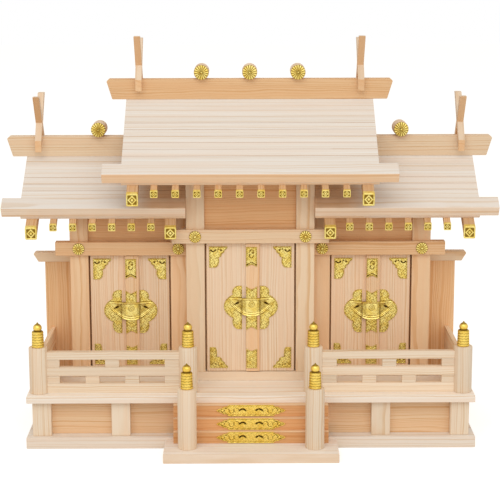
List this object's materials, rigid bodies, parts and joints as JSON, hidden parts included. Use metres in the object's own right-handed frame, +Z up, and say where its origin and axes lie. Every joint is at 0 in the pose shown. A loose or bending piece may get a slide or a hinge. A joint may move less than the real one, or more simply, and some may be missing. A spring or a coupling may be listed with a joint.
{
  "type": "kamidana",
  "caption": "Household shrine of plain cypress: a tall centre hall between two lower ones, each with double doors, on a railed veranda with a short stair and gilt fittings.",
  "frame": {"origin": "middle of the underside, under the centre of the whole box", "axes": "+Z up, the doors face -Y, +X to the right as seen from the front"},
  "size_m": [0.5374, 0.294, 0.4329],
  "materials": {
    "wood": "planed, unfinished cypress",
    "pale_wood": "planed, unfinished cypress",
    "warm_wood": "planed, unfinished cypress",
    "door_wood": "planed, unfinished cypress",
    "gilt": "bright gilt"
  },
  "bodies": {
    "shrine": {"stair_landing": "pale_wood", "base_board": "wood", "plinth_posts": "wood", "plinth_panels": "warm_wood", "veranda_floor": "pale_wood", "stair_step_low": "wood", "stair_step_mid": "wood", "stair_step_top": "wood", "riser_plates": "gilt", "stair_posts": "pale_wood", "rail_posts": "pale_wood", "post_caps": "gilt", "front_rails": "pale_wood", "rail_struts": "pale_wood", "side_boards": "wood", "wing_panels": "warm_wood", "wing_caps": "wood", "centre_sill": "warm_wood", "side_sills": "warm_wood", "centre_pillars": "wood", "side_pillars": "wood", "lintels": "wood", "lintel_studs": "gilt", "door_heads": "wood", "upper_walls": "warm_wood", "side_walls": "warm_wood", "centre_back_wall": "warm_wood", "side_back_walls": "warm_wood", "centre_roof_front": "pale_wood", "centre_roof_back": "pale_wood", "side_roof_fronts": "pale_wood", "side_roof_backs": "pale_wood", "eave_boards": "wood", "centre_ridge": "warm_wood", "side_ridges": "warm_wood", "rafters": "warm_wood", "gable_rafters": "warm_wood", "rafter_caps": "gilt", "ridge_logs": "wood", "ridge_log_discs": "gilt", "finials_forward": "wood", "finials_backward": "wood"},
    "centre_door_right": {"centre_door_right": "door_wood"},
    "centre_door_left": {"centre_door_left": "door_wood"},
    "left_door_right": {"left_door_right": "door_wood"},
    "left_door_left": {"left_door_left": "door_wood"},
    "right_door_right": {"right_door_right": "door_wood"},
    "right_door_left": {"right_door_left": "door_wood"}
  },
  "joints": [
    {"name": "centre_door_right_hinge", "type": "hinge", "parent": "shrine", "child": "centre_door_right", "pos_m": [0.0444, -0.03099, 0.1404], "axis": [0, 0, 1], "range_deg": [0, 90]},
    {"name": "centre_door_left_hinge", "type": "hinge", "parent": "shrine", "child": "centre_door_left", "pos_m": [-0.0444, -0.03099, 0.1404], "axis": [0, 0, -1], "range_deg": [0, 90]},
    {"name": "left_door_right_hinge", "type": "hinge", "parent": "shrine", "child": "left_door_right", "pos_m": [-0.0928, -0.01399, 0.13215], "axis": [0, 0, 1], "range_deg": [0, 90]},
    {"name": "left_door_left_hinge", "type": "hinge", "parent": "shrine", "child": "left_door_left", "pos_m": [-0.1724, -0.01399, 0.13215], "axis": [0, 0, -1], "range_deg": [0, 90]},
    {"name": "right_door_right_hinge", "type": "hinge", "parent": "shrine", "child": "right_door_right", "pos_m": [0.1724, -0.01399, 0.13215], "axis": [0, 0, 1], "range_deg": [0, 90]},
    {"name": "right_door_left_hinge", "type": "hinge", "parent": "shrine", "child": "right_door_left", "pos_m": [0.0928, -0.01399, 0.13215], "axis": [0, 0, -1], "range_deg": [0, 90]}
  ],
  "couplings": [
    {"joint": "centre_door_left_hinge", "follows": "centre_door_right_hinge", "ratio": 1},
    {"joint": "left_door_left_hinge", "follows": "left_door_right_hinge", "ratio": 1},
    {"joint": "right_door_left_hinge", "follows": "right_door_right_hinge", "ratio": 1}
  ]
}
